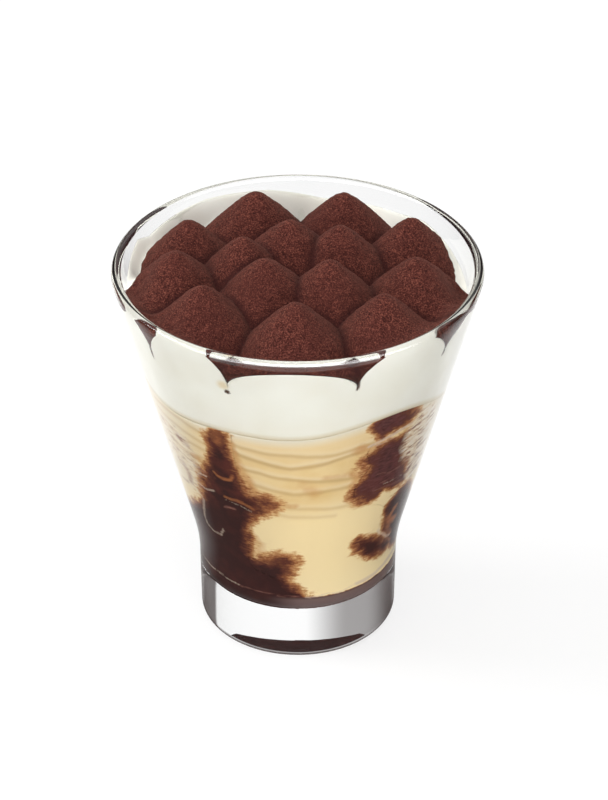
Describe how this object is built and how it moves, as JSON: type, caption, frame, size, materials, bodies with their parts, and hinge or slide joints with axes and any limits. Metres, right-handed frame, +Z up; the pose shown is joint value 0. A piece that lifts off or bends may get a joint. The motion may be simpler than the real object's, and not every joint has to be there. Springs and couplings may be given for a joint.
{
  "type": "tiramisu in a dessert glass",
  "caption": "Layered tiramisu in a tapered clear glass: custard with coffee-soaked sponge, white cream and piped mounds under cocoa powder.",
  "frame": {"origin": "centre of the underside of the glass", "axes": "+Z up through the glass; -Y is the side that shows the sponge best; +X to the right of a viewer there"},
  "size_m": [0.078, 0.078, 0.0928],
  "materials": {
    "glass": "clear polished glass",
    "custard": "smooth moist custard",
    "sponge": "coffee-soaked open crumb",
    "mascarpone_cream": "smooth whipped cream",
    "cocoa": "dry fine cocoa powder"
  },
  "bodies": {
    "root": {"glass": "glass", "custard": "custard", "sponge_left": "sponge", "sponge_right": "sponge", "sponge_right_top": "sponge", "mascarpone_cream": "mascarpone_cream", "cocoa_topping": "cocoa"}
  },
  "joints": []
}
